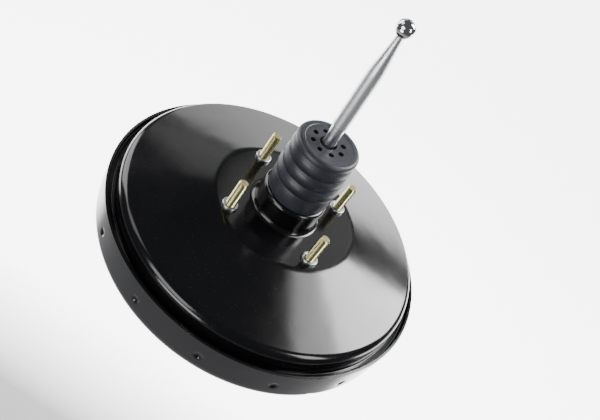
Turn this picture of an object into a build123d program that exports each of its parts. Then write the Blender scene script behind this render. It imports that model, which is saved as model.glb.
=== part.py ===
from build123d import *
from math import acos, asin, atan2, cos, degrees, radians, sin, sqrt, tan
import os

os.makedirs("parts", exist_ok=True)

# Vacuum brake booster, single diaphragm, millimetres.
# +Z runs along the axis towards the pedal. The origin is the centre of the four firewall studs,
# on the plane of their collars' top faces, which bear against the firewall.

# Pressed shells
front_sheet = 2.0
rear_sheet = 1.8
shell_fit = 0.2

# Rear shell, on the pedal side
collar_height = 2.4
neck_radius = 26.6
neck_height = 20.6
neck_lip_width = 4.3
neck_edge_bend = 3.2
neck_base_bend = 4.0
pad_radius = 60.0
pad_bend = 25.0
dome_drop = 16.8
shoulder_bend = 7.0
shoulder_taper = 0.6
groove_width = 2.9
groove_bend = 0.7
flange_sink = 5.1
flange_lip_height = 2.5

# Front shell, on the master cylinder side
rim_radius = 135.0
rim_drop = 31.4
rim_rounding = 0.7
wall_depth = 31.7
wall_taper = 2.2
corner_bend = 12.0
bowl_run = 25.8
shelf_width = 29.0
shelf_drop = 12.5
shelf_bend = 4.0
face_radius = 60.0
face_drop = 34.4
face_bend = 6.0
pilot_radius = 20.0
pilot_depth = 6.0
pilot_bend = 2.4

# Dents pressed into the front shell's wall, and the assembly pockets in its corner
lance_count = 14
lance_angle = 221.0
lance_half_width = 3.2
lance_depth = 1.8
lance_drop = 15.6
pocket_count = 2
pocket_angle = 134.5
pocket_pitch = 28.5
pocket_half_width = 6.5
pocket_depth = 4.5

# Studs, M8
stud_radius = 4.0
stud_shank_radius = 4.7
stud_length = 24.0
stud_chamfer = 0.9
stud_spacing_x = 72.0
stud_spacing_y = 70.0
stud_collar_radius = 6.5
stud_collar_rounding = 0.7
stud_head_radius = 6.4
stud_head_height = 3.0
stud_hole_gap = 0.1
cylinder_stud_spacing = 86.0
cylinder_stud_length = 25.0
cylinder_stud_head_radius = 6.8

# Reinforcement plates inside the shells
rear_plate_thickness = 2.5
rear_plate_width = 25.9
front_plate_thickness = 3.0
front_plate_radius = 53.0
plate_gap = 0.1

# Guide, seal and retainer inside the neck
seat_gap = 0.3
running_gap = 0.05
press_gap = 0.05
retainer_thickness = 2.2
neck_seal_height = 4.9
neck_seal_lip = 1.6
bearing_wall = 4.0

# Dust boot
boot_wall = 2.0
boot_base_radius = 24.5
boot_cuff_height = 15.2
boot_cuff_bulge = 0.8
boot_fold_count = 3
boot_fold_bulge = 1.2
boot_groove_radius = 25.2
boot_groove_step = 0.25
boot_joint_depth = 1.6
boot_joint_margin = 0.3
boot_cap_radius = 25.5
boot_cap_height = 5.4
boot_cap_thickness = 5.2
boot_cap_rounding = 3.2
boot_cap_edge = 1.0
boot_bead_height = 1.4
boot_bead_width = 1.3
boot_grip_height = 2.5
boot_rod_gap = 1.7
breather_count = 8
breather_circle = 12.4
breather_radius = 2.2
breather_angle = 120.0

# Power piston: the valve body and its diaphragm plate
tube_radius = 19.0
tube_wall = 3.5
tube_top = 66.0
hub_shoulder_drop = 11.0
hub_lip_radius = 28.5
hub_lip_height = 1.8
hub_groove_radius = 27.0
hub_groove_height = 5.1
hub_radius = 36.0
hub_thickness = 8.0
boss_radius = 17.0
boss_length = 22.0
plate_thickness = 2.0
plate_rim_height = 11.5
plate_flat_radius = 62.0
plate_dish = 6.5
plate_bend = 8.0
plate_rim_bend = 5.0

# Diaphragm
diaphragm_thickness = 1.8
diaphragm_gap = 0.25
diaphragm_roll_drop = 14.0
diaphragm_roll_room = 21.5
diaphragm_web_width = 6.3
diaphragm_web_drop = 3.0
diaphragm_roll_bend = 4.0
inner_bead_width = 4.0
outer_bead_height = 4.2
outer_bead_width = 6.5

# Valve plunger and the ball joint of the input rod
ball_joint_height = 8.0
joint_ball_radius = 5.0
liner_thickness = 1.2
liner_rear_reach = 2.8
liner_front_reach = 4.4
socket_rear_reach = 3.2
plunger_cup_wall = 2.3
plunger_cup_floor = 2.7
plunger_rim_wall = 1.0
plunger_rim_height = 4.75
plunger_radius = 6.4
plunger_cup_gap = 0.6
valve_travel = 2.0
nose_gap = 0.3
poppet_face_gap = 0.05
key_thickness = 2.5
key_depth = 6.6
key_width = 14.0
key_slot_radius = 4.6
key_overhang = 3.0
key_groove_radius = 4.2
key_gap = 0.3

# Control valve inside the valve body
valve_seat_drop = 0.8
valve_seat_height = 1.7
valve_seat_radius = 10.8
valve_seat_width = 1.2
poppet_bore_radius = 6.6
poppet_thickness = 2.2
poppet_radius = 13.0
poppet_sleeve_wall = 1.4
poppet_length = 16.0
poppet_bead_height = 3.0
poppet_retainer_thickness = 2.5
poppet_retainer_bore = 9.5
vacuum_hole_radius = 1.6
vacuum_hole_count = 4
air_hole_radius = 1.2
filter_length = 10.5
filter_bore_radius = 10.0

# Input rod and the tapered ball rod on its end
rod_lean = 2.18
neck_of_ball_radius = 3.2
neck_of_ball_length = 12.0
shank_cone_length = 4.0
shank_radius = 5.2
shank_length = 81.3
spigot_radius = 4.0
spigot_length = 14.0
rod_radius = 6.1
rod_straight_length = 46.0
rod_taper_length = 38.0
rod_tip_radius = 3.0
rod_edge_rounding = 0.8
pedal_ball_radius = 7.0
pedal_ball_distance = 173.0
washer_distance = 42.0
washer_thickness = 2.0
washer_radius = 11.0
snap_ring_thickness = 1.2
snap_ring_depth = 0.55
snap_ring_width = 1.9

# Reaction disc and output rod
reaction_radius = 12.5
reaction_thickness = 7.0
output_head_height = 4.4
output_rod_radius = 5.5
output_rod_tip_proud = 3.0
adjuster_length = 5.0
adjuster_radius = 3.0
adjuster_head_radius = 4.6
adjuster_depth = 14.0
output_retainer_sheet = 1.0
output_retainer_grip = 8.0

# Front seal and its spring seat
seal_lip_wall = 2.6
seal_lip_length = 5.5
seal_web = 2.2
seat_sheet = 1.0
seat_flange_width = 6.6
seat_height = 4.6
seat_bore_radius = 10.0

# Springs: mean radius of the coil, radius of the wire and number of turns
return_spring_radius = 31.0
return_spring_wire = 2.0
return_spring_turns = 5.25
poppet_spring_radius = 10.2
poppet_spring_wire = 0.5
poppet_spring_turns = 3.5
valve_spring_radius = 9.6
valve_spring_wire = 0.8
valve_spring_turns = 4.5
check_spring_radius = 4.2
check_spring_wire = 0.4
check_spring_turns = 3.5
spring_seat_gap = 0.05

# Vacuum check valve on the front shell's shelf
grommet_hole_radius = 9.0
grommet_bore_radius = 7.0
grommet_flange_radius = 12.0
grommet_outer_height = 3.0
grommet_inner_radius = 11.0
grommet_inner_height = 2.5
valve_barrel_reach = 7.0
valve_floor = 2.5
valve_inlet_radius = 2.6
valve_chamber_radius = 5.6
valve_flange_radius = 10.5
valve_flange_height = 2.5
nipple_chamber_depth = 1.5
nipple_radius = 5.5
nipple_length = 24.0
nipple_bore_radius = 3.0
nipple_barb_radius = 6.2
nipple_barb_length = 8.0
nipple_end_radius = 4.8
check_disc_radius = 5.2
check_disc_thickness = 2.0

# Heights and radii that follow from the sizes above
pad_z = -collar_height
neck_top_z = pad_z + neck_height
neck_lip_radius = neck_radius - neck_lip_width
neck_inner_radius = neck_radius - rear_sheet
shoulder_z = pad_z - dome_drop
rim_z = -rim_drop
flange_z = rim_z - flange_sink
flange_low_z = flange_z - rear_sheet
corner_z = rim_z - wall_depth
corner_radius = rim_radius - wall_taper
shelf_outer_radius = corner_radius - bowl_run
shelf_z = corner_z - shelf_drop
shelf_inner_radius = shelf_outer_radius - shelf_width
face_z = shelf_z - face_drop


def wall_radius(z):
    """Outer radius of the front shell's tapered wall at height z."""
    return rim_radius - wall_taper * (rim_z - z) / wall_depth


def dent_radius(half_width, depth):
    """Radius of the ball that presses a dent of this half width and depth."""
    return (half_width**2 + depth**2) / (2 * depth)


def sheet_section(points, bends, thickness):
    """Section of a sheet whose seen face follows the points, the sheet lying on its right."""
    with BuildLine() as face_line:
        FilletPolyline(*points, radius=bends)
    path = face_line.wires()[0]
    across = (path % 0).rotate(Axis.Z, -90) * thickness
    with BuildSketch() as section:
        sweep(sections=Edge.make_line(path @ 0, path @ 0 + across), path=path)
    return section.sketch


def coil_spring(coil_radius, wire_radius, low_z, high_z, turns):
    """Round-wire compression spring that stands between two heights on the axis."""
    height = high_z - low_z - 2 * wire_radius
    with BuildPart() as spring:
        with BuildLine() as coil:
            Helix(height / turns, height, coil_radius, center=(0, 0, low_z + wire_radius))
        with BuildSketch(Plane(origin=coil.line @ 0, z_dir=coil.line % 0)):
            Circle(wire_radius)
        sweep(path=coil.line, is_frenet=True)
    return spring


# Rear shell: neck with an inward lip, stud pad, shallow cone, shoulder, flange and upturned lip
flange_lip_radius = wall_radius(flange_low_z) - front_sheet - shell_fit - rear_sheet
groove_radius = flange_lip_radius - groove_width
shoulder_radius = groove_radius - shoulder_taper
stud_hole_radius = stud_shank_radius + stud_hole_gap
with BuildPart() as rear_shell:
    with BuildSketch(Plane.XZ):
        add(
            sheet_section(
                [
                    (neck_lip_radius, neck_top_z),
                    (neck_radius, neck_top_z),
                    (neck_radius, pad_z),
                    (pad_radius, pad_z),
                    (shoulder_radius, shoulder_z),
                    (groove_radius, flange_z),
                    (flange_lip_radius, flange_z),
                    (flange_lip_radius, flange_z + flange_lip_height),
                ],
                [neck_edge_bend, neck_base_bend, pad_bend, shoulder_bend, groove_bend, groove_bend],
                rear_sheet,
            )
        )
    revolve(axis=Axis.Z)
    with GridLocations(stud_spacing_x, stud_spacing_y, 2, 2):
        Hole(stud_hole_radius)
rear_shell.part.label = "rear_shell"
export_step(rear_shell.part, "parts/rear_shell.step")

# Front shell: rim, tapered wall, rounded corner, bowl with a shelf for the check valve, flat
# mounting face and turned-in pilot. Its outer face runs through these corners.
front_corners = [
    (rim_radius, rim_z),
    (corner_radius, corner_z),
    (shelf_outer_radius, shelf_z),
    (shelf_inner_radius, shelf_z),
    (face_radius, face_z),
    (pilot_radius, face_z),
    (pilot_radius, face_z + pilot_depth),
]
front_bends = [corner_bend, shelf_bend, shelf_bend, face_bend, pilot_bend]
check_valve_radius = (shelf_outer_radius + shelf_inner_radius) / 2

# The pockets are pressed square to the middle of the corner's bend
corner = Vector(*front_corners[1])
up_the_wall = (Vector(*front_corners[0]) - corner).normalized()
down_the_bowl = (Vector(*front_corners[2]) - corner).normalized()
inward = (up_the_wall + down_the_bowl).normalized()
half_corner = radians(inward.get_angle(up_the_wall))
bend_middle = corner + inward * (corner_bend / sin(half_corner) - corner_bend)
pocket_ball = dent_radius(pocket_half_width, pocket_depth)
pocket_centre = bend_middle - inward * (pocket_ball - pocket_depth)
lance_ball = dent_radius(lance_half_width, lance_depth)
lance_z = rim_z - lance_drop
lance_centre = Vector(wall_radius(lance_z) + lance_ball - lance_depth, lance_z)
dents = [
    (lance_ball, lance_centre, lance_count, lance_angle),
    (pocket_ball, pocket_centre, pocket_count, pocket_angle),
    (pocket_ball, pocket_centre, pocket_count, pocket_angle + pocket_pitch),
]

with BuildPart() as front_shell:
    for ball, centre, count, angle in dents:
        with PolarLocations(centre.X, count, angle):
            with Locations((0, 0, centre.Y)):
                Sphere(ball + front_sheet)
    with BuildSketch(Plane.XZ):
        with BuildLine():
            outline = FilletPolyline(*front_corners, radius=front_bends)
            Polyline(outline @ 1, (0, face_z + pilot_depth), (0, rim_z), outline @ 0)
        make_face()
    revolve(axis=Axis.Z, mode=Mode.INTERSECT)
    with BuildSketch(Plane.XZ):
        add(sheet_section(front_corners, front_bends, front_sheet))
    revolve(axis=Axis.Z)
    for ball, centre, count, angle in dents:
        with PolarLocations(centre.X, count, angle):
            with Locations((0, 0, centre.Y)):
                Sphere(ball, mode=Mode.SUBTRACT)
    with GridLocations(cylinder_stud_spacing, 0, 2, 1):
        Hole(stud_hole_radius)
    with Locations((0, check_valve_radius)):
        Hole(grommet_hole_radius)
    fillet(front_shell.edges().group_by(Axis.Z)[-1], rim_rounding)
front_shell.part.label = "front_shell"
export_step(front_shell.part, "parts/front_shell.step")

# Rear reinforcement plate: a flat ring behind the stud pad
rear_plate_top_z = pad_z - rear_sheet
rear_plate_low_z = rear_plate_top_z - rear_plate_thickness
rear_plate_inner_radius = neck_radius + neck_base_bend + plate_gap
with BuildPart() as rear_plate:
    with BuildSketch(Plane.XY.offset(rear_plate_low_z)):
        Circle(rear_plate_inner_radius + rear_plate_width)
        Circle(rear_plate_inner_radius, mode=Mode.SUBTRACT)
        with GridLocations(stud_spacing_x, stud_spacing_y, 2, 2):
            Circle(stud_hole_radius, mode=Mode.SUBTRACT)
    extrude(amount=rear_plate_thickness)
rear_plate.part.label = "rear_plate"
export_step(rear_plate.part, "parts/rear_plate.step")

# Firewall studs: head behind the plate, shank through plate and shell, collar, chamfered tip
with BuildPart() as firewall_studs:
    with BuildSketch(Plane.XY.offset(rear_plate_low_z - stud_head_height)):
        with GridLocations(stud_spacing_x, stud_spacing_y, 2, 2):
            Circle(stud_head_radius)
    extrude(amount=stud_head_height)
    with BuildSketch(Plane.XY.offset(rear_plate_low_z)):
        with GridLocations(stud_spacing_x, stud_spacing_y, 2, 2):
            Circle(stud_shank_radius)
    extrude(amount=pad_z - rear_plate_low_z)
    with BuildSketch(Plane.XY.offset(pad_z)):
        with GridLocations(stud_spacing_x, stud_spacing_y, 2, 2):
            Circle(stud_radius)
    extrude(amount=stud_length - pad_z)
    chamfer(firewall_studs.edges().group_by(Axis.Z)[-1], stud_chamfer)
    with BuildSketch(Plane.XY.offset(pad_z)):
        with GridLocations(stud_spacing_x, stud_spacing_y, 2, 2):
            Circle(stud_collar_radius)
    extrude(amount=collar_height)
    collar_edges = firewall_studs.edges().filter_by_position(Axis.Z, -plate_gap, plate_gap)
    fillet(collar_edges.filter_by(lambda edge: edge.radius > stud_radius), stud_collar_rounding)
firewall_studs.part.label = "firewall_studs"
export_step(firewall_studs.part, "parts/firewall_studs.step")

# Front reinforcement plate, behind the mounting face
front_plate_low_z = face_z + front_sheet
front_plate_top_z = front_plate_low_z + front_plate_thickness
front_plate_bore = pilot_radius + pilot_bend + plate_gap
with BuildPart() as front_plate:
    with BuildSketch(Plane.XY.offset(front_plate_low_z)):
        Circle(front_plate_radius)
        Circle(front_plate_bore, mode=Mode.SUBTRACT)
        with GridLocations(cylinder_stud_spacing, 0, 2, 1):
            Circle(stud_hole_radius, mode=Mode.SUBTRACT)
    extrude(amount=front_plate_thickness)
front_plate.part.label = "front_plate"
export_step(front_plate.part, "parts/front_plate.step")

# Master cylinder studs, through the front plate and the mounting face
with BuildPart() as master_cylinder_studs:
    with BuildSketch(Plane.XY.offset(face_z - cylinder_stud_length)):
        with GridLocations(cylinder_stud_spacing, 0, 2, 1):
            Circle(stud_radius)
    extrude(amount=cylinder_stud_length)
    chamfer(master_cylinder_studs.edges().group_by(Axis.Z)[0], stud_chamfer)
    with BuildSketch(Plane.XY.offset(face_z)):
        with GridLocations(cylinder_stud_spacing, 0, 2, 1):
            Circle(stud_shank_radius)
    extrude(amount=front_plate_top_z - face_z)
    with BuildSketch(Plane.XY.offset(front_plate_top_z)):
        with GridLocations(cylinder_stud_spacing, 0, 2, 1):
            Circle(cylinder_stud_head_radius)
    extrude(amount=stud_head_height)
master_cylinder_studs.part.label = "master_cylinder_studs"
export_step(master_cylinder_studs.part, "parts/master_cylinder_studs.step")

# Dust boot: snap bead under the neck's lip, upright cuff, then three folds and a perforated cap
# that lean with the rod. The cap grips the upright tube of the valve body.
boot_bead_top_z = neck_top_z - rear_sheet - shell_fit
boot_bead_low_z = boot_bead_top_z - boot_bead_height
boot_spigot_radius = neck_lip_radius - shell_fit
boot_inner_radius = boot_spigot_radius - boot_wall
boot_base_z = neck_top_z + plate_gap
cuff_top_z = neck_top_z + boot_cuff_height
cuff_inner_radius = boot_groove_radius - boot_wall
cuff_middle_z = (boot_base_z + cuff_top_z) / 2
cap_top_z = tube_top + seat_gap + boot_cap_thickness
lean = radians(rod_lean)
rod_offset_at_cap = -(cap_top_z - ball_joint_height) * tan(lean)
boot_grip_radius = tube_radius + shell_fit

# The leaning part is drawn in a plane that starts on top of the cuff, heights counted from there
boot_section = Plane(origin=(0, 0, cuff_top_z), x_dir=(cos(lean), 0, sin(lean)), z_dir=(0, -1, 0))
boot_axis = Axis((0, 0, cuff_top_z), (-sin(lean), 0, cos(lean)))
cap_top_height = cap_top_z - cuff_top_z
cap_low_height = cap_top_height - boot_cap_height
skirt_low_height = cap_low_height - boot_grip_height
groove_points = []
for fold in range(boot_fold_count + 1):
    fold_height = fold * cap_low_height / boot_fold_count
    groove_points.append((boot_groove_radius - fold * boot_groove_step, fold_height))
inner_points = [(radius - boot_wall, height) for radius, height in groove_points]
inner_points[-1] = (groove_points[-1][0] - boot_wall, skirt_low_height)
with BuildPart() as dust_boot:
    with BuildSketch(Plane.XZ):
        with BuildLine():
            Polyline(
                (cuff_inner_radius, cuff_top_z),
                (boot_inner_radius, boot_base_z),
                (boot_inner_radius, boot_bead_low_z),
                (boot_spigot_radius + boot_bead_width, boot_bead_low_z),
                (boot_spigot_radius + boot_bead_width, boot_bead_top_z),
                (boot_spigot_radius, boot_bead_top_z),
                (boot_spigot_radius, boot_base_z),
                (boot_base_radius, boot_base_z),
            )
            ThreePointArc(
                (boot_base_radius, boot_base_z),
                ((boot_base_radius + boot_groove_radius) / 2 + boot_cuff_bulge, cuff_middle_z),
                (boot_groove_radius, cuff_top_z),
            )
            Line((boot_groove_radius, cuff_top_z), (cuff_inner_radius, cuff_top_z))
        make_face()
    revolve(axis=Axis.Z)
    with BuildSketch(boot_section):
        with BuildLine():
            Polyline(
                groove_points[0],
                (boot_groove_radius - boot_joint_margin, 0),
                (boot_groove_radius - boot_joint_margin, -boot_joint_depth),
                (cuff_inner_radius + boot_joint_margin, -boot_joint_depth),
                (cuff_inner_radius + boot_joint_margin, 0),
                inner_points[0],
            )
            for low, high in zip(groove_points, groove_points[1:]):
                middle = ((low[0] + high[0]) / 2 + boot_fold_bulge, (low[1] + high[1]) / 2)
                ThreePointArc(low, middle, high)
            for low, high in zip(inner_points, inner_points[1:]):
                middle = ((low[0] + high[0]) / 2 + boot_fold_bulge, (low[1] + high[1]) / 2)
                ThreePointArc(low, middle, high)
            FilletPolyline(
                groove_points[-1],
                (boot_cap_radius, cap_low_height),
                (boot_cap_radius, cap_top_height),
                (0, cap_top_height),
                radius=[boot_cap_edge, boot_cap_rounding],
            )
            Polyline((0, cap_top_height), (0, skirt_low_height), inner_points[-1])
        make_face()
    revolve(axis=boot_axis)
    with BuildSketch(Plane.XY.offset(cuff_top_z)):
        Circle(boot_grip_radius)
    extrude(amount=tube_top + seat_gap - cuff_top_z, mode=Mode.SUBTRACT)
    with Locations((rod_offset_at_cap, 0)):
        Hole(shank_radius + boot_rod_gap)
        with PolarLocations(breather_circle, breather_count, breather_angle):
            Hole(breather_radius)
dust_boot.part.label = "dust_boot"
export_step(dust_boot.part, "parts/dust_boot.step")

# Guide, seal and retainer inside the neck, stacked down from the boot's bead
key_top_z = -key_depth
key_low_z = key_top_z - key_thickness
retainer_top_z = boot_bead_low_z - seat_gap
retainer_low_z = retainer_top_z - retainer_thickness
neck_seal_low_z = retainer_low_z - neck_seal_height
neck_press_radius = neck_inner_radius - press_gap
sliding_radius = tube_radius + running_gap
with BuildPart() as seal_retainer:
    with BuildSketch(Plane.XY.offset(retainer_low_z)):
        Circle(neck_press_radius)
        Circle(tube_radius + seat_gap, mode=Mode.SUBTRACT)
    extrude(amount=retainer_thickness)
seal_retainer.part.label = "seal_retainer"
export_step(seal_retainer.part, "parts/seal_retainer.step")

# Lip seal: a channel whose inner wall leans onto the valve body's tube
with BuildPart() as neck_seal:
    with BuildSketch(Plane.XZ):
        with BuildLine():
            Polyline(
                (sliding_radius, neck_seal_low_z),
                (neck_press_radius, neck_seal_low_z),
                (neck_press_radius, retainer_low_z),
                (neck_press_radius - neck_seal_lip, retainer_low_z),
                (neck_press_radius - neck_seal_lip, neck_seal_low_z + neck_seal_lip),
                (sliding_radius + 2 * neck_seal_lip, neck_seal_low_z + neck_seal_lip),
                (sliding_radius + neck_seal_lip, retainer_low_z - seat_gap),
                (sliding_radius, retainer_low_z - seat_gap),
                close=True,
            )
        make_face()
    revolve(axis=Axis.Z)
neck_seal.part.label = "neck_seal"
export_step(neck_seal.part, "parts/neck_seal.step")

# Guide bearing: a flanged bush, whose lower end is the stop for the key
bearing_step_z = pad_z + neck_base_bend
with BuildPart() as neck_bearing:
    with BuildSketch(Plane.XZ):
        with BuildLine():
            Polyline(
                (sliding_radius, key_top_z + seat_gap),
                (sliding_radius + bearing_wall, key_top_z + seat_gap),
                (sliding_radius + bearing_wall, bearing_step_z),
                (neck_press_radius, bearing_step_z),
                (neck_press_radius, neck_seal_low_z),
                (sliding_radius, neck_seal_low_z),
                close=True,
            )
        make_face()
    revolve(axis=Axis.Z)
neck_bearing.part.label = "neck_bearing"
export_step(neck_bearing.part, "parts/neck_bearing.step")

# Heights inside the valve body, worked out from the input rod's ball joint
socket_radius = joint_ball_radius + running_gap + liner_thickness + running_gap
cup_radius = socket_radius + plunger_cup_wall
cup_low_z = ball_joint_height - socket_radius - plunger_cup_floor
cup_top_z = ball_joint_height + socket_rear_reach
plunger_rim_z = cup_top_z + plunger_rim_height
poppet_face_z = plunger_rim_z + poppet_face_gap
valve_seat_z = poppet_face_z - valve_seat_drop
chamber_floor_z = valve_seat_z - valve_seat_height
chamber_radius = tube_radius - tube_wall
pocket_radius = cup_radius + plunger_cup_gap
pocket_floor_z = cup_low_z - valve_travel - plunger_cup_gap
hub_top_z = -hub_shoulder_drop
hub_shelf_z = hub_top_z - hub_lip_height - (hub_lip_radius - hub_groove_radius) - hub_groove_height
hub_front_z = hub_shelf_z - hub_thickness
boss_end_z = hub_front_z - boss_length
output_stack = reaction_thickness + output_head_height + 3 * running_gap
reaction_floor_z = boss_end_z + output_stack
vacuum_hole_circle = (valve_seat_radius + valve_seat_width + chamber_radius) / 2
vacuum_window_z = hub_front_z - 2 * vacuum_hole_radius
vacuum_window_length = boss_radius - vacuum_hole_circle

# Valve body: rear tube, hub with the diaphragm's groove, front boss and the valve's bores
with BuildPart() as valve_body:
    with BuildSketch(Plane.XZ):
        with BuildLine():
            Polyline(
                (0, boss_end_z),
                (boss_radius, boss_end_z),
                (boss_radius, hub_front_z),
                (hub_radius, hub_front_z),
                (hub_radius, hub_shelf_z),
                (hub_groove_radius, hub_shelf_z),
                (hub_groove_radius, hub_shelf_z + hub_groove_height),
                (hub_lip_radius, hub_shelf_z + hub_groove_height),
                (hub_lip_radius, hub_shelf_z + hub_groove_height + hub_lip_height / 2),
                (tube_radius, hub_top_z),
                (tube_radius, tube_top),
                (0, tube_top),
                close=True,
            )
        make_face()
    revolve(axis=Axis.Z)
    with BuildSketch(Plane.XY.offset(chamber_floor_z)):
        Circle(chamber_radius)
    extrude(amount=tube_top - chamber_floor_z, mode=Mode.SUBTRACT)
    with BuildSketch(Plane.XY.offset(chamber_floor_z)):
        Circle(valve_seat_radius + valve_seat_width)
        Circle(valve_seat_radius, mode=Mode.SUBTRACT)
    extrude(amount=valve_seat_height)
    with BuildSketch(Plane.XY.offset(pocket_floor_z)):
        Circle(pocket_radius)
    extrude(amount=chamber_floor_z - pocket_floor_z, mode=Mode.SUBTRACT)
    with BuildSketch(Plane.XY.offset(reaction_floor_z)):
        Circle(plunger_radius + running_gap)
    extrude(amount=pocket_floor_z - reaction_floor_z, mode=Mode.SUBTRACT)
    with BuildSketch(Plane.XY.offset(boss_end_z)):
        Circle(reaction_radius + running_gap)
    extrude(amount=reaction_floor_z - boss_end_z, mode=Mode.SUBTRACT)
    with BuildSketch(Plane.XY.offset(key_low_z - key_gap)):
        Rectangle(2 * hub_lip_radius, key_width + 2 * key_gap)
    extrude(amount=key_thickness + 2 * key_gap, mode=Mode.SUBTRACT)
    with BuildSketch(Plane.XY.offset(key_top_z)):
        with PolarLocations((plunger_radius + pocket_radius) / 2, 2):
            Circle(air_hole_radius)
    extrude(amount=pocket_floor_z - key_top_z, mode=Mode.SUBTRACT)
    with BuildSketch(Plane.XY.offset(vacuum_window_z)):
        with PolarLocations(vacuum_hole_circle, vacuum_hole_count, 180 / vacuum_hole_count):
            Circle(vacuum_hole_radius)
    extrude(amount=chamber_floor_z - vacuum_window_z, mode=Mode.SUBTRACT)
    with PolarLocations(vacuum_hole_circle, vacuum_hole_count, 180 / vacuum_hole_count):
        with Locations(Location((0, 0, vacuum_window_z), (0, 90, 0))):
            Cylinder(
                vacuum_hole_radius,
                vacuum_window_length + vacuum_hole_radius,
                align=(Align.CENTER, Align.CENTER, Align.MIN),
                mode=Mode.SUBTRACT,
            )
valve_body.part.label = "valve_body"
export_step(valve_body.part, "parts/valve_body.step")

# Stop key: a fork through the valve body that straddles the plunger and meets the bearing
key_reach = tube_radius + key_overhang
with BuildPart() as stop_key:
    with BuildSketch(Plane.XY.offset(key_low_z)):
        Rectangle(2 * key_reach, key_width)
        Circle(key_slot_radius, mode=Mode.SUBTRACT)
        with Locations((key_reach / 2, 0)):
            Rectangle(key_reach, 2 * key_slot_radius, mode=Mode.SUBTRACT)
    extrude(amount=key_thickness)
stop_key.part.label = "stop_key"
export_step(stop_key.part, "parts/stop_key.step")

# The diaphragm's outer bead sits in the wall under the flange; the plate ends inside the roll
outer_bead_top_z = flange_low_z - shell_fit
outer_bead_low_z = outer_bead_top_z - outer_bead_height
outer_bead_radius = wall_radius(outer_bead_low_z) - front_sheet - shell_fit
outer_bead_inner_radius = outer_bead_radius - outer_bead_width
plate_rim_radius = outer_bead_inner_radius - diaphragm_roll_room

# Diaphragm plate: a dished disc seated on the hub's rear face, its rim turned forwards
plate_rear_z = hub_shelf_z + plate_thickness
plate_bore = hub_groove_radius + shell_fit
plate_rim_top_z = plate_rear_z - plate_dish
with BuildPart() as diaphragm_plate:
    with BuildSketch(Plane.XZ):
        add(
            sheet_section(
                [
                    (plate_bore, plate_rear_z),
                    (plate_flat_radius, plate_rear_z),
                    (plate_rim_radius, plate_rim_top_z),
                    (plate_rim_radius, plate_rim_top_z - plate_rim_height),
                ],
                [plate_bend, plate_rim_bend],
                plate_thickness,
            )
        )
    revolve(axis=Axis.Z)
diaphragm_plate.part.label = "diaphragm_plate"
export_step(diaphragm_plate.part, "parts/diaphragm_plate.step")

# Diaphragm: outer bead under the flange, rolling fold, skin over the plate, bead on the hub
web_z = outer_bead_top_z - diaphragm_web_drop
roll_outer_radius = outer_bead_inner_radius - diaphragm_web_width
skin_radius = plate_rim_radius + diaphragm_gap
skin_z = plate_rear_z + diaphragm_gap
skin_rim_z = plate_rim_top_z + diaphragm_gap
roll_z = plate_rim_top_z - plate_rim_height - diaphragm_roll_drop
inner_bead_top_z = hub_shelf_z + hub_groove_height - plate_gap
with BuildPart() as diaphragm:
    with BuildSketch(Plane.XZ):
        add(
            sheet_section(
                [
                    (outer_bead_inner_radius + diaphragm_thickness, web_z),
                    (roll_outer_radius, web_z),
                    (roll_outer_radius, roll_z),
                    (skin_radius, roll_z),
                    (skin_radius, skin_rim_z),
                    (plate_flat_radius, skin_z),
                    (plate_bore + inner_bead_width / 2, skin_z),
                ],
                [
                    diaphragm_roll_bend / 2,
                    diaphragm_roll_bend,
                    diaphragm_roll_bend,
                    plate_rim_bend + diaphragm_gap,
                    plate_bend + diaphragm_gap,
                ],
                diaphragm_thickness,
            )
        )
        with Locations((outer_bead_radius, outer_bead_low_z)):
            Rectangle(outer_bead_width, outer_bead_height, align=(Align.MAX, Align.MIN))
        with Locations((plate_bore, skin_z)):
            Rectangle(inner_bead_width, inner_bead_top_z - skin_z, align=Align.MIN)
    revolve(axis=Axis.Z)
diaphragm.part.label = "diaphragm"
export_step(diaphragm.part, "parts/diaphragm.step")

# Valve plunger: shank with the key's groove, cup with the ball socket, thin air-valve rim
nose_z = reaction_floor_z + valve_travel + nose_gap
socket_mouth_radius = sqrt(socket_radius**2 - socket_rear_reach**2)
with BuildPart() as valve_plunger:
    with BuildSketch(Plane.XZ):
        with BuildLine():
            Polyline(
                (0, nose_z),
                (plunger_radius, nose_z),
                (plunger_radius, key_low_z - key_gap),
                (key_groove_radius, key_low_z - key_gap),
                (key_groove_radius, key_top_z + valve_travel + key_gap),
                (plunger_radius, key_top_z + valve_travel + key_gap),
                (plunger_radius, cup_low_z),
                (cup_radius, cup_low_z),
                (cup_radius, plunger_rim_z),
                (cup_radius - plunger_rim_wall, plunger_rim_z),
                (cup_radius - plunger_rim_wall, cup_top_z),
                (socket_mouth_radius, cup_top_z),
            )
            socket = CenterArc(
                (0, ball_joint_height),
                socket_radius,
                degrees(atan2(socket_rear_reach, socket_mouth_radius)),
                -90 - degrees(atan2(socket_rear_reach, socket_mouth_radius)),
            )
            Line(socket @ 1, (0, nose_z))
        make_face()
    revolve(axis=Axis.Z)
valve_plunger.part.label = "valve_plunger"
export_step(valve_plunger.part, "parts/valve_plunger.step")

# Rod socket liner: a plastic ball zone between the rod's front ball and the plunger's socket
liner_outer_radius = socket_radius - running_gap
liner_inner_radius = joint_ball_radius + running_gap
with BuildPart() as rod_socket_liner:
    with BuildSketch(Plane.XZ):
        with Locations((0, ball_joint_height)):
            Circle(liner_outer_radius)
            Circle(liner_inner_radius, mode=Mode.SUBTRACT)
            with Locations((0, (liner_rear_reach - liner_front_reach) / 2)):
                Rectangle(
                    2 * liner_outer_radius, liner_rear_reach + liner_front_reach, mode=Mode.INTERSECT
                )
        split(bisect_by=Plane.YZ, keep=Keep.TOP)
    revolve(axis=Axis.Z)
rod_socket_liner.part.label = "rod_socket_liner"
export_step(rod_socket_liner.part, "parts/rod_socket_liner.step")

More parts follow.
